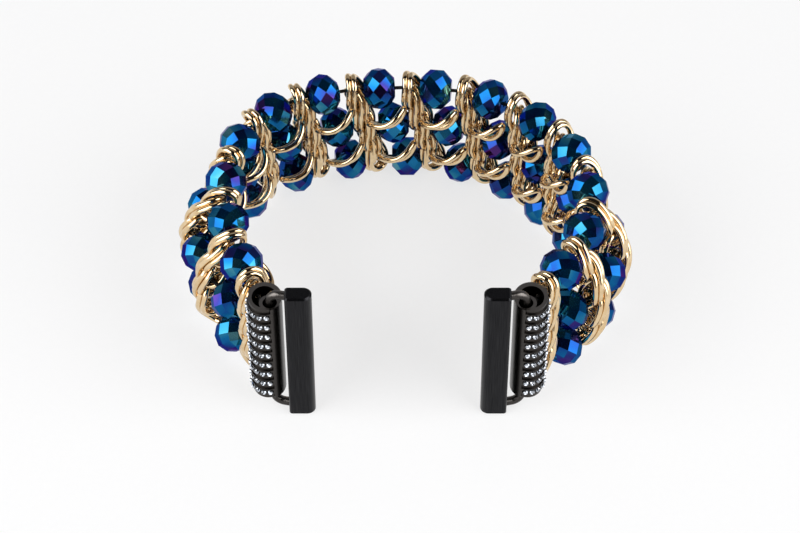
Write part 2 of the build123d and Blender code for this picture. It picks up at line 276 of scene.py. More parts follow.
@dataclass(frozen=True)
class BlackNickel(Finish):
    """Cast zinc or steel wire under black nickel plate, the grey called gunmetal.

    Near black on the sides as painted shade, and painted lighter to a mid grey on the flat ends,
    with a satin sheen.
    """

    name: str = "black nickel plate"
    metallic: float = 1.0
    roughness: float = 0.3
    # painted light and shade: the lighter grey goes on the flat ends and the darker grey on the
    # sides
    lit_end_grey: str = "#6A6663"
    shaded_side_grey: str = "#3E3B39"
    mottle: float = 3.0 * MM
    mottle_share: float = 0.3
    grain: float = 0.25 * MM
    grain_height: float = 0.006 * MM

    def paint(self, tree: bpy.types.NodeTree, shader: bpy.types.Node,
              place: bpy.types.Node) -> None:
        """Mottle the plate, paint its flat ends lighter than its sides as painted light and shade,
        and give it the fine grain of a casting.

        Args:
            tree: The material's node tree.
            shader: The tree's Principled BSDF.
            place: The tree's Texture Coordinate node.
        """
        cloud = add_node(tree, "ShaderNodeTexNoise", None,
                         {"Vector": place.outputs["Object"], "Scale": 1 / self.mottle,
                          "Detail": 3.0})
        # painted light and shade: faces that point up or down (the flat ends) take the lighter
        # grey, and the sides take the darker one; the noise mottle is the plate's own uneven tone
        facing = add_node(tree, "ShaderNodeSeparateXYZ", None, {0: place.outputs["Normal"]})
        flat = add_node(tree, "ShaderNodeMath", {"operation": "ABSOLUTE"},
                        {0: facing.outputs["Z"]})
        mottle_and_painted_light = add_node(tree, "ShaderNodeMath", {"operation": "MULTIPLY_ADD"},
                        {0: cloud.outputs[0], 1: self.mottle_share, 2: flat.outputs[0]})
        ramp = add_node(tree, "ShaderNodeValToRGB", None, {0: mottle_and_painted_light.outputs[0]})
        set_ramp(ramp, [(0.4, self.shaded_side_grey), (1.0, self.lit_end_grey)])
        tree.links.new(ramp.outputs[0], shader.inputs["Base Color"])
        grain = add_node(tree, "ShaderNodeTexNoise", None,
                         {"Vector": place.outputs["Object"], "Scale": 1 / self.grain,
                          "Detail": 2.0})
        bump = add_node(tree, "ShaderNodeBump", None,
                        {"Strength": 0.4, "Distance": self.grain_height,
                         "Height": grain.outputs[0]})
        tree.links.new(bump.outputs[0], shader.inputs["Normal"])


@dataclass(frozen=True)
class BrushedMetal(Finish):
    """Stainless steel brushed along its length, plain or under a black hard coat.

    Fine straight hairlines that run up the part. Real ones are some 0.03 mm apart, and these
    are drawn 0.1 mm apart, so that they show.
    """

    name: str = "brushed stainless steel"
    metallic: float = 1.0
    roughness: float = 0.32
    light_tone: str = "#B9B9B6"
    dark_tone: str = "#969693"
    hairline: float = 0.1 * MM
    run: float = 6.0 * MM
    line_height: float = 0.004 * MM

    def paint(self, tree: bpy.types.NodeTree, shader: bpy.types.Node,
              place: bpy.types.Node) -> None:
        """Stretch a fine noise along Z into hairlines.

        Args:
            tree: The material's node tree.
            shader: The tree's Principled BSDF.
            place: The tree's Texture Coordinate node.
        """
        stretch = add_node(tree, "ShaderNodeMapping", None,
                           {"Vector": place.outputs["Object"],
                            "Scale": (1 / self.hairline, 1 / self.hairline, 1 / self.run)})
        lines = add_node(tree, "ShaderNodeTexNoise", None,
                         {"Vector": stretch.outputs[0], "Scale": 1.0, "Detail": 2.0})
        ramp = add_node(tree, "ShaderNodeValToRGB", None, {0: lines.outputs[0]})
        set_ramp(ramp, [(0.35, self.dark_tone), (0.65, self.light_tone)])
        tree.links.new(ramp.outputs[0], shader.inputs["Base Color"])
        bump = add_node(tree, "ShaderNodeBump", None,
                        {"Strength": 0.5, "Distance": self.line_height,
                         "Height": lines.outputs[0]})
        tree.links.new(bump.outputs[0], shader.inputs["Normal"])


@dataclass(frozen=True)
class FoiledCrystal(Finish):
    """Machine-cut lead crystal with silver foil behind it.

    The foil throws the light back, so the crown is bright and the pit of the back facets,
    seen through the flat top, is grey or dark.
    """

    name: str = "foil-backed crystal"
    metallic: float = 1.0
    roughness: float = 0.16
    patch: float = 0.5 * MM

    def paint(self, tree: bpy.types.NodeTree, shader: bpy.types.Node,
              place: bpy.types.Node) -> None:
        """Give the stones the slight unevenness of foil seen through glass.

        Args:
            tree: The material's node tree.
            shader: The tree's Principled BSDF.
            place: The tree's Texture Coordinate node.
        """
        foil = add_node(tree, "ShaderNodeTexNoise", None,
                        {"Vector": place.outputs["Object"], "Scale": 1 / self.patch,
                         "Detail": 1.0})
        ramp = add_node(tree, "ShaderNodeValToRGB", None, {0: foil.outputs[0]})
        set_ramp(ramp, [(0.35, "#9CA1A8"), (0.65, "#C6CAD0")])
        tree.links.new(ramp.outputs[0], shader.inputs["Base Color"])


@dataclass(frozen=True)
class BraidedElastic(Finish):
    """Round elastic: a rubber core in a black braided polyester cover.

    Dull black with the fine diagonal lines of the braid, a third of a millimetre apart.
    """

    name: str = "black braided elastic"
    roughness: float = 0.7
    braid_pitch: float = 0.33 * MM
    braid_angle: float = radians(40)
    braid_height: float = 0.03 * MM

    def paint(self, tree: bpy.types.NodeTree, shader: bpy.types.Node,
              place: bpy.types.Node) -> None:
        """Lay two sets of diagonal lines over each other.

        Args:
            tree: The material's node tree.
            shader: The tree's Principled BSDF.
            place: The tree's Texture Coordinate node.
        """
        sets = []
        for turn in (self.braid_angle, -self.braid_angle):
            turned = add_node(tree, "ShaderNodeMapping", None,
                              {"Vector": place.outputs["Object"],
                               "Rotation": (0.0, turn, turn)})
            sets.append(add_node(tree, "ShaderNodeTexWave", {"bands_direction": "X"},
                                 {"Vector": turned.outputs[0],
                                  "Scale": WAVE_PERIOD / self.braid_pitch}))
        braid = add_node(tree, "ShaderNodeMath", {"operation": "MULTIPLY"},
                         {0: sets[0].outputs["Fac"], 1: sets[1].outputs["Fac"]})
        ramp = add_node(tree, "ShaderNodeValToRGB", None, {0: braid.outputs[0]})
        set_ramp(ramp, [(0.1, "#0E0D0D"), (0.7, "#2B2827")])
        tree.links.new(ramp.outputs[0], shader.inputs["Base Color"])
        bump = add_node(tree, "ShaderNodeBump", None,
                        {"Strength": 0.6, "Distance": self.braid_height,
                         "Height": braid.outputs[0]})
        tree.links.new(bump.outputs[0], shader.inputs["Normal"])


@dataclass(frozen=True)
class StudioPaper(Finish):
    """The white seamless paper that the band stands on: matt, with a barely seen tooth.

    To the camera, and in the metal and the glass, it is lifted towards white, as in an
    overexposed studio shot. It lights the band as plain paper does.
    """

    name: str = "white seamless paper"
    roughness: float = 0.9
    tooth: float = 1.2 * MM
    lift: float = 0.70
    kept: float = 0.27

    def paint(self, tree: bpy.types.NodeTree, shader: bpy.types.Node,
              place: bpy.types.Node) -> None:
        """Vary the paper's white by a hair, and lift it where it is seen.

        Args:
            tree: The material's node tree.
            shader: The tree's Principled BSDF.
            place: The tree's Texture Coordinate node.
        """
        tooth = add_node(tree, "ShaderNodeTexNoise", None,
                         {"Vector": place.outputs["Object"], "Scale": 1 / self.tooth})
        ramp = add_node(tree, "ShaderNodeValToRGB", None, {0: tooth.outputs[0]})
        set_ramp(ramp, [(0.3, "#F6F6F7"), (0.7, "#F9F9FA")])
        path = add_node(tree, "ShaderNodeLightPath").outputs
        mirrored = add_node(tree, "ShaderNodeMath", {"operation": "MAXIMUM"},
                            {0: path["Is Glossy Ray"], 1: path["Is Transmission Ray"]})
        seen = add_node(tree, "ShaderNodeMath", {"operation": "MAXIMUM"},
                        {0: path["Is Camera Ray"], 1: mirrored.outputs[0]})
        share = add_node(tree, "ShaderNodeMath", {"operation": "MULTIPLY_ADD"},
                         {0: seen.outputs[0], 1: self.kept - 1, 2: 1.0})
        shade = add_node(tree, "ShaderNodeVectorMath", {"operation": "SCALE"},
                         {0: ramp.outputs[0], "Scale": share.outputs[0]})
        tree.links.new(shade.outputs[0], shader.inputs["Base Color"])
        lift = add_node(tree, "ShaderNodeMath", {"operation": "MULTIPLY"},
                        {0: seen.outputs[0], 1: self.lift})
        shader.inputs["Emission Color"].default_value = linear("#FFFFFF")
        tree.links.new(lift.outputs[0], shader.inputs["Emission Strength"])


@dataclass(frozen=True)
class CordRuns:
    """Where the three elastic cords run, read from the frame's plain cord stretches.

    The gap is what the frame leaves open on each side of a hinge line.
    """

    columns: int = 14
    rows: int = 3
    row_pitch: float = 10.0 * MM
    gap: float = 0.4 * MM
    knot_radius: float = 0.9 * MM

    def row_points(self, node: str) -> list[list[Vector]]:
        """Split a cord node's vertices into its rows.

        Args:
            node: The CAD node's name.

        Returns:
            The vertices of the top, middle and bottom row.
        """
        low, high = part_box(node)
        middle = (low.z + high.z) / 2
        rows: list[list[Vector]] = [[] for _ in range(self.rows)]
        for vertex in frame["nodes"][node].data.vertices:
            row = round(1 - (vertex.co.z - middle) / self.row_pitch)
            rows[row].append(vertex.co.copy())
        return rows

    @staticmethod
    def ends(points: list[Vector], along: Vector) -> tuple[Vector, Vector]:
        """Return the centres of the two ends of a rod.

        Args:
            points: The rod's vertices, which lie only at its two ends.
            along: Roughly the direction of the rod.

        Returns:
            The centre of its first end and of its last end.
        """
        reach = [point.dot(along) for point in points]
        middle = (min(reach) + max(reach)) / 2
        centres = []
        for last in (False, True):
            ring = [point for point, at in zip(points, reach) if (at > middle) == last]
            low = Vector([min(point[axis] for point in ring) for axis in range(3)])
            high = Vector([max(point[axis] for point in ring) for axis in range(3)])
            centres.append((low + high) / 2)
        return centres[0], centres[1]

    def hinge(self, rung: int) -> Vector:
        """Return the point of the hinge at a rung."""
        joint = next(j for j in frame["joints"] if j["name"] == f"bend_{rung:02d}")
        return Vector(joint["pos_m"])

    def rung_points(self) -> list[list[Vector]]:
        """Find where the cords pass the rungs.

        Returns:
            The point of each row at each rung, as [rung][row].
        """
        starts: list[list[Vector]] = []
        finishes: list[list[Vector]] = []
        for column in range(1, self.columns + 1):
            along = (self.hinge(column) - self.hinge(column - 1)).normalized()
            starts.append([])
            finishes.append([])
            for points in self.row_points(f"cords_{column:02d}"):
                first, last = self.ends(points, along)
                back = (last - first).normalized() * self.gap
                starts[-1].append(first - back)
                finishes[-1].append(last + back)
        return [starts[0], *finishes]

    def knots(self, side: Side, rung: list[Vector]) -> list[Vector]:
        """Return the centres of the three knots of one end.

        Args:
            side: Which end of the band.
            rung: The points where the cords pass the rung at that barrel.

        Returns:
            One centre for each row.
        """
        centres = []
        for start, points in zip(rung, self.row_points(f"cord_ends_{side.value}")):
            far = max(points, key=lambda point: (point - start).length)
            run = far - start
            centres.append(start + run.normalized() * (run.length - self.knot_radius))
        return centres


@dataclass(frozen=True)
class LinkSpot:
    """Where one chain ring lies, how it is turned, how large it is and whether it is bowed."""

    centre: Vector
    along: Vector
    across: Vector
    reach: Vector
    bowed: bool = False


class TwistedLinks:
    """The Geometry Nodes tree that makes one wire ring on each point.

    The wire follows an oval. A plain ring is bent like a saddle, as curb chain is, so that it
    passes over its neighbour on one side and under it on the other. A bowed ring is bent like
    a hammock, so that it lies round the bead above it.
    """

    def __init__(self) -> None:
        """Build the tree."""
        self.tree = bpy.data.node_groups.new("twisted links", "GeometryNodeTree")
        self.sockets: dict[str, str] = {}
        face = self.tree.interface
        face.new_socket("Geometry", in_out="OUTPUT", socket_type="NodeSocketGeometry")
        face.new_socket("Geometry", in_out="INPUT", socket_type="NodeSocketGeometry")
        for name, kind in (("Wire", "NodeSocketFloat"), ("Round", "NodeSocketInt"),
                           ("Sides", "NodeSocketInt"), ("Material", "NodeSocketMaterial")):
            socket = face.new_socket(name, in_out="INPUT", socket_type=kind)
            self.sockets[name] = socket.identifier
        self.build()

    def build(self) -> None:
        """Add the tree's nodes."""
        tree = self.tree
        given = add_node(tree, "NodeGroupInput").outputs
        circle = add_node(tree, "GeometryNodeCurvePrimitiveCircle", None,
                          {"Resolution": given["Round"], "Radius": 1.0})
        part = add_node(tree, "GeometryNodeSplineParameter")
        turn = add_node(tree, "ShaderNodeMath", {"operation": "MULTIPLY"},
                        {0: part.outputs["Factor"], 1: 2 * pi})
        twice = add_node(tree, "ShaderNodeMath", {"operation": "MULTIPLY"},
                         {0: turn.outputs[0], 1: 2.0})
        across = add_node(tree, "ShaderNodeMath", {"operation": "SINE"}, {0: turn.outputs[0]})
        along = add_node(tree, "ShaderNodeMath", {"operation": "COSINE"}, {0: turn.outputs[0]})
        shapes = add_node(tree, "GeometryNodeGeometryToInstance")
        for bend in ("COSINE", "SINE"):
            height = add_node(tree, "ShaderNodeMath", {"operation": bend},
                              {0: twice.outputs[0]})
            oval = add_node(tree, "ShaderNodeCombineXYZ", None,
                            {0: across.outputs[0], 1: along.outputs[0], 2: height.outputs[0]})
            bent = add_node(tree, "GeometryNodeSetPosition", None,
                            {"Geometry": circle.outputs["Curve"], "Position": oval.outputs[0]})
            tree.links.new(bent.outputs[0], shapes.inputs[0])
        bowed = add_node(tree, "GeometryNodeInputNamedAttribute", {"data_type": "INT"},
                         {"Name": "bowed"})
        named = {}
        for name in ("along", "across", "reach"):
            named[name] = add_node(tree, "GeometryNodeInputNamedAttribute",
                                   {"data_type": "FLOAT_VECTOR"}, {"Name": name}).outputs[0]
        turned = add_node(tree, "FunctionNodeAxesToRotation",
                          {"primary_axis": "Y", "secondary_axis": "X"},
                          {"Primary Axis": named["along"], "Secondary Axis": named["across"]})
        placed = add_node(tree, "GeometryNodeInstanceOnPoints", None,
                          {"Points": given["Geometry"], "Instance": shapes.outputs[0],
                           "Pick Instance": True, "Instance Index": bowed.outputs[0],
                           "Rotation": turned.outputs[0], "Scale": named["reach"]})
        loose = add_node(tree, "GeometryNodeRealizeInstances", None,
                         {"Geometry": placed.outputs[0]})
        section = add_node(tree, "GeometryNodeCurvePrimitiveCircle", None,
                           {"Resolution": given["Sides"], "Radius": given["Wire"]})
        wire = add_node(tree, "GeometryNodeCurveToMesh", None,
                        {"Curve": loose.outputs[0], "Profile Curve": section.outputs["Curve"]})
        smooth = add_node(tree, "GeometryNodeSetShadeSmooth", None, {"Geometry": wire.outputs[0]})
        real = add_node(tree, "GeometryNodeRealizeInstances", None,
                        {"Geometry": smooth.outputs[0]})
        dressed = add_node(tree, "GeometryNodeSetMaterial", None,
                           {"Geometry": real.outputs[0], "Material": given["Material"]})
        add_node(tree, "NodeGroupOutput", None, {"Geometry": dressed.outputs[0]})

    def make(self, name: str, spots: list[LinkSpot], wire: float,
             finish: Finish) -> bpy.types.Object:
        """Make the links of one body as one mesh object.

        Args:
            name: The new object's name.
            spots: Where the links lie.
            wire: The wire's diameter.
            finish: The links' finish.

        Returns:
            The object, at the origin, with the links in its mesh.
        """
        points = bpy.data.meshes.new(name)
        points.from_pydata([spot.centre for spot in spots], [], [])
        for field_name in ("along", "across", "reach"):
            layer = points.attributes.new(field_name, "FLOAT_VECTOR", "POINT")
            for item, spot in zip(layer.data, spots):
                item.vector = getattr(spot, field_name)
        layer = points.attributes.new("bowed", "INT", "POINT")
        for item, spot in zip(layer.data, spots):
            item.value = int(spot.bowed)
        values = {"Wire": wire / 2, "Round": RING_STEPS, "Sides": WIRE_SIDES,
                  "Material": finish.material()}
        return bake(name, points, self.tree, self.sockets, values)


def bake(name: str, start: bpy.types.Mesh, tree: bpy.types.NodeTree, sockets: dict[str, str],
         values: dict) -> bpy.types.Object:
    """Run a Geometry Nodes tree on a mesh and keep the result as a plain mesh.

    Args:
        name: The new object's name.
        start: The mesh that goes in.
        tree: The tree.
        sockets: The identifiers of the tree's inputs by name.
        values: The inputs' values by name.

    Returns:
        An object at the origin that holds the result and no modifier.
    """
    made = bpy.data.objects.new(name, start)
    bpy.context.scene.collection.objects.link(made)
    modifier = made.modifiers.new("make", "NODES")
    modifier.node_group = tree
    for key, value in values.items():
        modifier[sockets[key]] = value
    graph = bpy.context.evaluated_depsgraph_get()
    result = bpy.data.meshes.new_from_object(made.evaluated_get(graph), depsgraph=graph)
    made.modifiers.remove(modifier)
    made.data = result
    result.name = name
    bpy.data.meshes.remove(start)
    return made


@dataclass
class Chain:
    """The gold chain: a rung of links at every gap, and cross links between the rungs.

    Pairs of rings follow each other down a rung, turned to one side and the other in turn, the
    lowest further round, so that it hugs the bottom bead. The rung bows through the three cords
    that it hangs on. A cross link is one bowed ring.
    """

    runs: list[list[Vector]]
    finish: Finish
    wire: float = 1.15 * MM
    length: float = 9.6 * MM
    width: float = 6.2 * MM
    saddle: float = 0.58 * MM
    pairs: int = 7
    pair_gap: float = 1.2 * MM
    turn: float = radians(24)
    last_turn: float = radians(34)
    pitch: float = 2.95 * MM
    row_pitch: float = 10.0 * MM
    slack: float = 0.25
    cross_length: float = 9.2 * MM
    cross_width: float = 4.6 * MM
    cross_bow: float = 1.0 * MM
    cross_in: float = 4.4 * MM
    cross_foot: float = 0.2
    cross_head: float = 0.2
    cross_roll: float = radians(-45)

    def __post_init__(self) -> None:
        """Keep the tree that makes the links."""
        self.links = TwistedLinks()
        self.last = len(self.runs) - 1

    def along(self, rung: int) -> Vector:
        """Return the direction of the cords at a rung.

        Args:
            rung: The rung, counted from the left barrel.

        Returns:
            The direction from the rung before to the rung after, of length 1.
        """
        row = 1 if 0 < rung < self.last else 0
        before = self.runs[max(rung - 1, 0)][row]
        after = self.runs[min(rung + 1, self.last)][row]
        return (after - before).normalized()

    def spot(self, rung: int, height: float) -> tuple[Vector, Vector, Vector]:
        """Return a place on a rung, its upward and its outward direction.

        Args:
            rung: The rung, counted from the left barrel.
            height: From -1 at the bottom cord to 1 at the top cord.

        Returns:
            The place, the direction up the rung and the direction out of the loop.
        """
        top, middle, bottom = self.runs[rung]
        along = self.along(rung)
        half = (top - bottom) / 2
        half -= along * half.dot(along) * self.slack
        bow = (top + bottom) / 2 - middle
        up = (half + bow * 2 * height).normalized()
        return middle + half * height + bow * height ** 2, up, up.cross(along).normalized()

    def rung(self, rung: int) -> list[LinkSpot]:
        """Lay out the rings of one rung.

        Args:
            rung: The rung, counted from the left barrel.

        Returns:
            The rings' spots, from the top down.
        """
        rings = []
        reach = Vector(((self.width - self.wire) / 2, (self.length - self.wire) / 2,
                        -self.saddle))
        for index in range(self.pairs):
            height = ((self.pairs - 1) / 2 - index) * self.pitch / self.row_pitch
            centre, up, out = self.spot(rung, height)
            turn = self.turn if index % 2 else -self.turn
            if index == self.pairs - 1:
                turn = -self.last_turn
            across = out * cos(turn) - out.cross(up) * sin(turn)
            beside = across.cross(up).normalized() * self.pair_gap / 2
            rings.append(LinkSpot(centre + beside, up, across, reach))
            rings.append(LinkSpot(centre - beside, up, across, reach))
        return rings

    def cross(self, column: int) -> list[LinkSpot]:
        """Lay out the rings that rise from one rung of a column to the next.

        Args:
            column: The column, counted from the left barrel.

        Returns:
            The spots of the lower and the upper ring.
        """
        rings = []
        reach = Vector(((self.cross_width - self.wire) / 2, (self.cross_length - self.wire) / 2,
                        -self.cross_bow))
        for gap in (1, 0):
            foot, _, foot_out = self.spot(column - 1, self.cross_foot - gap)
            head, _, head_out = self.spot(column, 1 - self.cross_head - gap)
            run = (head - foot).normalized()
            out = (foot_out + head_out).normalized()
            across = out * cos(self.cross_roll) - out.cross(run) * sin(self.cross_roll)
            rings.append(LinkSpot((foot + head) / 2 - out * self.cross_in, run, across, reach,
                                  bowed=True))
        return rings

    def build(self) -> None:
        """Make the chain, one piece for each body."""
        ends = {0: Side.LEFT.value, self.last: Side.RIGHT.value}
        for rung in range(self.last + 1):
            if rung in ends:
                end = ends[rung]
                self.place(f"chain_{end}", f"{end}_barrel", f"end_links_{end}", self.rung(rung))
            else:
                self.place(f"chain_{rung:02d}", f"column_{rung:02d}", f"links_{rung:02d}",
                           self.rung(rung) + self.cross(rung))
        last = f"{self.last:02d}"
        self.place(f"chain_{last}", f"column_{last}", f"links_{last}", self.cross(self.last))

    def place(self, name: str, body: str, node: str, spots: list[LinkSpot]) -> None:
        """Make one body's links and let them stand for its plain ones.

        Args:
            name: The new piece's name.
            body: The CAD body that it rides on.
            node: The CAD node that it stands for.
            spots: Where its rings lie.
        """
        piece = self.links.make(name, spots, self.wire, self.finish)
        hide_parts(node)
        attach(piece, body)
        log.info("%s: %d rings, %d faces", name, len(spots), len(piece.data.polygons))


class SetStones:
    """The Geometry Nodes tree that sets a stone on each point."""

    def __init__(self) -> None:
        """Build the tree."""
        self.tree = bpy.data.node_groups.new("set stones", "GeometryNodeTree")
        self.sockets: dict[str, str] = {}
        face = self.tree.interface
        face.new_socket("Geometry", in_out="OUTPUT", socket_type="NodeSocketGeometry")
        face.new_socket("Geometry", in_out="INPUT", socket_type="NodeSocketGeometry")
        for name, kind in (("Stone", "NodeSocketObject"), ("Material", "NodeSocketMaterial")):
            socket = face.new_socket(name, in_out="INPUT", socket_type=kind)
            self.sockets[name] = socket.identifier
        given = add_node(self.tree, "NodeGroupInput").outputs
        named = {}
        for name in ("outward", "upward"):
            named[name] = add_node(self.tree, "GeometryNodeInputNamedAttribute",
                                   {"data_type": "FLOAT_VECTOR"}, {"Name": name}).outputs[0]
        turned = add_node(self.tree, "FunctionNodeAxesToRotation",
                          {"primary_axis": "Z", "secondary_axis": "X"},
                          {"Primary Axis": named["outward"], "Secondary Axis": named["upward"]})
        stone = add_node(self.tree, "GeometryNodeObjectInfo", None, {"Object": given["Stone"]})
        placed = add_node(self.tree, "GeometryNodeInstanceOnPoints", None,
                          {"Points": given["Geometry"], "Instance": stone.outputs["Geometry"],
                           "Rotation": turned.outputs[0]})
        real = add_node(self.tree, "GeometryNodeRealizeInstances", None,
                        {"Geometry": placed.outputs[0]})
        dressed = add_node(self.tree, "GeometryNodeSetMaterial", None,
                           {"Geometry": real.outputs[0], "Material": given["Material"]})
        add_node(self.tree, "NodeGroupOutput", None, {"Geometry": dressed.outputs[0]})

    def make(self, name: str, pattern: bpy.types.Mesh, places: list[tuple[Vector, Vector]],
             finish: Finish) -> bpy.types.Object:
        """Set one pattern mesh on every place.

        Args:
            name: The new object's name.
            pattern: The mesh that repeats, its local Z pointing out of its seat.
            places: The seats' centres and outward directions.
            finish: The finish of the result.

        Returns:
            The object, at the origin, with all copies in its mesh.
        """
        points = bpy.data.meshes.new(name)
        points.from_pydata([centre for centre, _ in places], [], [])
        outward = points.attributes.new("outward", "FLOAT_VECTOR", "POINT")
        upward = points.attributes.new("upward", "FLOAT_VECTOR", "POINT")
        for index, (_, out) in enumerate(places):
            outward.data[index].vector = out
            upward.data[index].vector = (0, 0, 1)
        holder = bpy.data.objects.new("pattern", pattern)
        values = {"Stone": holder, "Material": finish.material()}
        made = bake(name, points, self.tree, self.sockets, values)
        bpy.data.objects.remove(holder)
        return made


@dataclass
class CrystalFace:
    """The rows of crystals set in one barrel.

    A stone's crown breaks between its main and its star facets, at a share of its width and
    of its height.
    """

    side: Side
    stones: SetStones
    crystal: Finish
    rows: int = 9
    columns: int = 6
    row_pitch: float = 2.62 * MM
    first_angle: float = radians(-98)
    last_angle: float = radians(14)
    diameter: float = 1.12 * MM
    facets: int = 8
    crown: float = 0.34 * MM
    break_width: float = 0.8
    break_height: float = 0.75
    foot: float = 0.3 * MM
    pit_share: float = 0.52
    pit: float = 0.42 * MM

    def seats(self) -> list[tuple[Vector, Vector]]:
        """Work out the stones' seats from the barrel's box.

        Returns:
            The centre and the outward direction of each seat.
        """
        low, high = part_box(f"barrel_{self.side.value}")
        middle = (low + high) / 2
        across, deep = (high.x - low.x) / 2, (high.y - low.y) / 2
        places = []
        for row in range(self.rows):
            height = middle.z + (row - (self.rows - 1) / 2) * self.row_pitch
            for column in range(self.columns):
                share = column / (self.columns - 1)
                angle = self.first_angle + (self.last_angle - self.first_angle) * share
                x, y = cos(angle) * self.side.sign, sin(angle)
                centre = Vector((middle.x + across * x, middle.y + deep * y, height))
                places.append((centre, Vector((x / across, y / deep, 0)).normalized()))
        return places

    def stone(self) -> bpy.types.Mesh:
        """Cut one stone: a foot, a crown and the pit of the facets behind its top.

        Returns:
            The stone's closed mesh, with its girdle at the origin.
        """
        girdle = self.diameter / 2
        step = pi / self.facets
        outline = [(girdle, -self.foot, 0.0), (girdle, 0.0, 0.0),
                   (girdle * self.break_width, self.crown * self.break_height, step),
                   (girdle * self.pit_share, self.crown, 0.0)]
        mesh = bmesh.new()
        rings = []
        for radius, height, start in outline:
            angles = [start + 2 * step * index for index in range(self.facets)]
            rings.append([mesh.verts.new((radius * cos(angle), radius * sin(angle), height))
                          for angle in angles])
        for lower, upper in zip(rings, rings[1:]):
            for index in range(self.facets):
                after = (index + 1) % self.facets
                mesh.faces.new((lower[index], lower[after], upper[index]))
                mesh.faces.new((lower[after], upper[after], upper[index]))
        culet = mesh.verts.new((0, 0, self.crown - self.pit))
        for index in range(self.facets):
            mesh.faces.new((rings[-1][index], rings[-1][(index + 1) % self.facets], culet))
        mesh.faces.new(list(reversed(rings[0])))
        bmesh.ops.recalc_face_normals(mesh, faces=mesh.faces)
        result = bpy.data.meshes.new("cut stone")
        mesh.to_mesh(result)
        mesh.free()
        return result

    def build(self) -> None:
        """Set the stones of this barrel."""
        name = f"stones_{self.side.value}"
        piece = self.stones.make(name, self.stone(), self.seats(), self.crystal)
        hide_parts(f"crystals_{self.side.value}")
        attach(piece, f"{self.side.value}_barrel")
        log.info("%s: %d faces", name, len(piece.data.polygons))


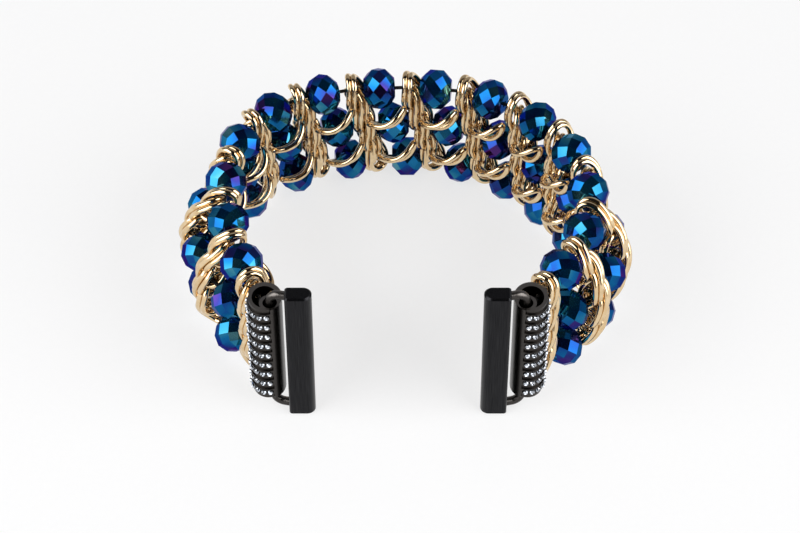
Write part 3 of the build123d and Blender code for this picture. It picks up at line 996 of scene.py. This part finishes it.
@dataclass
class Elastic:
    """The three elastic cords, made as lengths that run across each hinge.

    A knot is one line that goes twice round while it swings in and out and up and down. Its
    mean radius, swing and rise are shares of a quarter of the room beside the cord.
    """

    runs: list[list[Vector]]
    knots: dict[Side, list[Vector]]
    finish: Finish
    diameter: float = 0.7 * MM
    sides: int = 12
    steps: int = 8
    knot: float = 1.8 * MM
    knot_lobes: int = 3
    knot_steps: int = 48
    knot_mean: float = 1.1
    knot_swing: float = 0.7
    knot_rise: float = 0.8

    def tube(self, mesh: bmesh.types.BMesh, line: list[Vector]) -> None:
        """Add one tube with closed ends.

        Args:
            mesh: The mesh that takes the tube.
            line: The points of its centreline.
        """
        rings = []
        for index, point in enumerate(line):
            along = (line[min(index + 1, len(line) - 1)] - line[max(index - 1, 0)]).normalized()
            turn = Vector((0, 0, 1)).rotation_difference(along)
            ring = []
            for side in range(self.sides):
                angle = 2 * pi * side / self.sides
                spoke = Vector((cos(angle), sin(angle), 0)) * self.diameter / 2
                ring.append(mesh.verts.new(point + turn @ spoke))
            rings.append(ring)
        for first, second in zip(rings, rings[1:]):
            for side in range(self.sides):
                after = (side + 1) % self.sides
                mesh.faces.new((first[side], first[after], second[after], second[side]))
        mesh.faces.new(list(reversed(rings[0])))
        mesh.faces.new(rings[-1])

    def knotted(self, mesh: bmesh.types.BMesh, centre: Vector, along: Vector) -> None:
        """Add a knot: three turns of cord round the line.

        Args:
            mesh: The mesh that takes the knot.
            centre: The knot's centre.
            along: The direction of the cord.
        """
        turn = Vector((0, 0, 1)).rotation_difference(along)
        room = (self.knot - self.diameter) / 4
        line = []
        for index in range(self.knot_steps + 1):
            angle = 2 * pi * index / self.knot_steps
            wave = self.knot_lobes * angle
            radius = room * (self.knot_mean + self.knot_swing * cos(wave))
            spot = Vector((radius * cos(2 * angle), radius * sin(2 * angle),
                           room * self.knot_rise * sin(wave)))
            line.append(centre + turn @ spot)
        self.tube(mesh, line)

    def length(self, points: list[Vector]) -> list[Vector]:
        """Space points evenly between the given points.

        Args:
            points: The corners of the line.

        Returns:
            The points of the whole line.
        """
        line = []
        for first, second in zip(points, points[1:]):
            for step in range(self.steps):
                line.append(first.lerp(second, step / self.steps))
        line.append(points[-1])
        return line

    def piece(self, name: str, rows: list[list[Vector]],
              knots: list[Vector] | None = None) -> bpy.types.Object:
        """Make one length of all three cords.

        Args:
            name: The new object's name.
            rows: The points of each row's line.
            knots: The centres of the knots, at a barrel.

        Returns:
            The object, not yet riding on anything.
        """
        mesh = bmesh.new()
        for line in rows:
            self.tube(mesh, self.length(line))
        for line, centre in zip(rows, knots or []):
            outer = line[0] if (line[0] - centre).length < (line[-1] - centre).length else line[-1]
            inner = line[-1] if outer is line[0] else line[0]
            self.knotted(mesh, centre, (outer - inner).normalized())
        bmesh.ops.recalc_face_normals(mesh, faces=mesh.faces)
        result = bpy.data.meshes.new(name)
        mesh.to_mesh(result)
        mesh.free()
        result.shade_smooth()
        made = bpy.data.objects.new(name, result)
        bpy.context.scene.collection.objects.link(made)
        self.finish.dress(made)
        return made

    def bead_point(self, column: int, row: int) -> Vector:
        """Return the centre of a bead."""
        return (self.runs[column - 1][row] + self.runs[column][row]) / 2

    def build(self) -> None:
        """Make the lengths from bead to bead and the tails in the barrels."""
        last = len(self.runs) - 1
        rows = range(len(self.runs[0]))
        for rung in range(1, last):
            lines = [[self.bead_point(rung, row), self.runs[rung][row],
                      self.bead_point(rung + 1, row)] for row in rows]
            made = self.piece(f"elastic_{rung:02d}", lines)
            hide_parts(f"cords_{rung:02d}")
            self.bend(made, f"column_{rung:02d}", f"column_{rung + 1:02d}", rung)
        for side, rung, column in ((Side.LEFT, 0, 1), (Side.RIGHT, last, last)):
            lines = [[self.knots[side][row], self.runs[rung][row], self.bead_point(column, row)]
                     for row in rows]
            made = self.piece(f"elastic_{side.value}", lines, self.knots[side])
            nodes = [f"cord_ends_{side.value}"]
            if side is Side.RIGHT:
                nodes.append(f"cords_{last:02d}")
            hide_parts(*nodes)
            self.bend(made, f"{side.value}_barrel", f"column_{column:02d}", rung)

    def bend(self, made: bpy.types.Object, first: str, second: str, rung: int) -> None:
        """Bake a length's place into its mesh and log the bodies it runs between; it does not ride
        on them or bend.

        Args:
            made: The length of cord.
            first: The body that holds its first end.
            second: The body that holds its last end.
            rung: The rung between them; not used.
        """
        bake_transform(made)
        log.info("%s bends from %s to %s", made.name, first, second)


@dataclass
class Hardware:
    """The barrels, bails, lugs and latch buttons, which keep their frame shapes.

    The leaf springs keep theirs too, as pieces of their own.
    """

    plate: Finish
    coat: Finish
    steel: Finish

    def build(self) -> None:
        """Dress the hardware of both ends."""
        nodes = frame["nodes"]
        for side in Side:
            end = side.value
            self.plate.dress(nodes[f"barrel_{end}"], nodes[f"bail_{end}"])
            self.coat.dress(nodes[f"lug_{end}"])
            self.steel.dress(nodes[f"latch_button_{end}"])
            self.leaf(side)
            log.info("dressed the %s barrel, bail, lug and latch", end)

    def leaf(self, side: Side) -> None:
        """Make the leaf spring of one latch as a piece that rides on its lug.

        Args:
            side: Which end of the band.
        """
        node = f"latch_spring_{side.value}"
        piece = bpy.data.objects.new(f"leaf_{side.value}", frame["nodes"][node].data.copy())
        bpy.context.scene.collection.objects.link(piece)
        self.steel.dress(piece)
        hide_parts(node)
        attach(piece, f"{side.value}_lug")
        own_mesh(piece)


@dataclass
class Beads:
    """The cut glass beads, which keep their frame shapes."""

    finish: Finish
    columns: int = 14

    def build(self) -> None:
        """Dress every bead."""
        for column in range(1, self.columns + 1):
            self.finish.dress(frame["nodes"][f"beads_{column:02d}"])
            log.info("dressed the beads of column %d", column)


@dataclass
class Studio:
    """The paper floor, the two soft boxes, the room and the camera.

    The room's horizon and back are the heights and depths, on a sphere of radius 1, over which
    its tone goes from pale to dark and from dark to pale.
    """

    paper: Finish
    floor_radius: float = 4.0
    floor_sides: int = 64
    box_size: float = 0.8
    box_distance: float = 0.8
    box_side: float = 0.83
    box_front: float = 0.38
    box_height: float = 0.46
    box_power: float = 8.5
    target: Vector = Vector((0, 0, 16 * MM))
    camera_place: Vector = Vector((-0.760, -335.903, 360.690)) * MM
    camera_down: float = radians(46.7)
    lens: float = 110.5
    near: float = 0.01
    far: float = 50.0
    horizon: tuple[float, float] = (0.12, 0.3)
    back: tuple[float, float] = (0.25, 0.6)
    pale: str = "#A4A4A7"
    dark: str = "#1F1E20"

    def floor(self) -> None:
        """Lay the paper floor."""
        mesh = bmesh.new()
        bmesh.ops.create_circle(mesh, cap_ends=True, segments=self.floor_sides,
                                radius=self.floor_radius)
        result = bpy.data.meshes.new("floor")
        mesh.to_mesh(result)
        mesh.free()
        floor = bpy.data.objects.new("floor", result)
        bpy.context.scene.collection.objects.link(floor)
        self.paper.dress(floor)

    def lamps(self) -> None:
        """Hang a soft box on each side."""
        for side in Side:
            away = Vector((side.sign * self.box_side, -self.box_front, self.box_height))
            data = bpy.data.lights.new(f"soft box {side.value}", "AREA")
            data.shape = "SQUARE"
            data.size = self.box_size
            data.energy = self.box_power
            lamp = bpy.data.objects.new(data.name, data)
            lamp.location = self.target + away.normalized() * self.box_distance
            lamp.rotation_mode = "QUATERNION"
            lamp.rotation_quaternion = away.to_track_quat("Z", "Y")
            bpy.context.scene.collection.objects.link(lamp)

    def room(self) -> None:
        """Make the room: pale near the horizon and behind, dark overhead and in front."""
        world = bpy.data.worlds.new("studio room")
        world.use_nodes = True
        tree = world.node_tree
        place = add_node(tree, "ShaderNodeTexCoord")
        axes = add_node(tree, "ShaderNodeSeparateXYZ", None, {0: place.outputs["Generated"]})
        low = add_node(tree, "ShaderNodeMapRange", {"interpolation_type": "SMOOTHSTEP"},
                       {"Value": axes.outputs["Z"], "From Min": self.horizon[0],
                        "From Max": self.horizon[1], "To Min": 1.0, "To Max": 0.0})
        back = add_node(tree, "ShaderNodeMapRange", {"interpolation_type": "SMOOTHSTEP"},
                        {"Value": axes.outputs["Y"], "From Min": self.back[0],
                         "From Max": self.back[1]})
        share = add_node(tree, "ShaderNodeMath", {"operation": "MAXIMUM"},
                         {0: low.outputs[0], 1: back.outputs[0]})
        # The Mix node's colours are its inputs 6 and 7 and its output 2
        tone = add_node(tree, "ShaderNodeMix", {"data_type": "RGBA"},
                        {0: share.outputs[0], 6: linear(self.dark), 7: linear(self.pale)})
        tree.links.new(tone.outputs[2], tree.nodes["Background"].inputs["Color"])
        bpy.context.scene.world = world

    def camera(self) -> None:
        """Put the camera where the photograph was taken from."""
        data = bpy.data.cameras.new("camera")
        data.lens = self.lens
        data.clip_start = self.near
        data.clip_end = self.far
        camera = bpy.data.objects.new("camera", data)
        camera.location = self.camera_place
        camera.rotation_euler = (pi / 2 - self.camera_down, 0, 0)
        bpy.context.scene.collection.objects.link(camera)
        bpy.context.scene.camera = camera

    def build(self) -> None:
        """Set up the whole studio."""
        self.camera()
        self.floor()
        self.lamps()
        self.room()
        bpy.context.scene.view_settings.view_transform = "Standard"
        log.info("studio ready")


def main() -> None:
    """Build the pieces in order."""
    logging.basicConfig(level=logging.INFO, format="%(name)s: %(message)s")
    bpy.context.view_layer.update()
    plate = BlackNickel()
    gold = GoldPlate()
    crystal = FoiledCrystal()
    Studio(StudioPaper()).build()
    cords = CordRuns()
    runs = cords.rung_points()
    knots = {Side.LEFT: cords.knots(Side.LEFT, runs[0]),
             Side.RIGHT: cords.knots(Side.RIGHT, runs[-1])}
    Beads(MirrorCoatedGlass()).build()
    Chain(runs, gold).build()
    stones = SetStones()
    for side in Side:
        CrystalFace(side, stones, crystal).build()
    Elastic(runs, knots, BraidedElastic()).build()
    Hardware(plate, BrushedMetal("black-coated steel", light_tone="#2C2C2E",
                                 dark_tone="#1B1B1D"), BrushedMetal()).build()


if __name__ == "__main__":
    main()
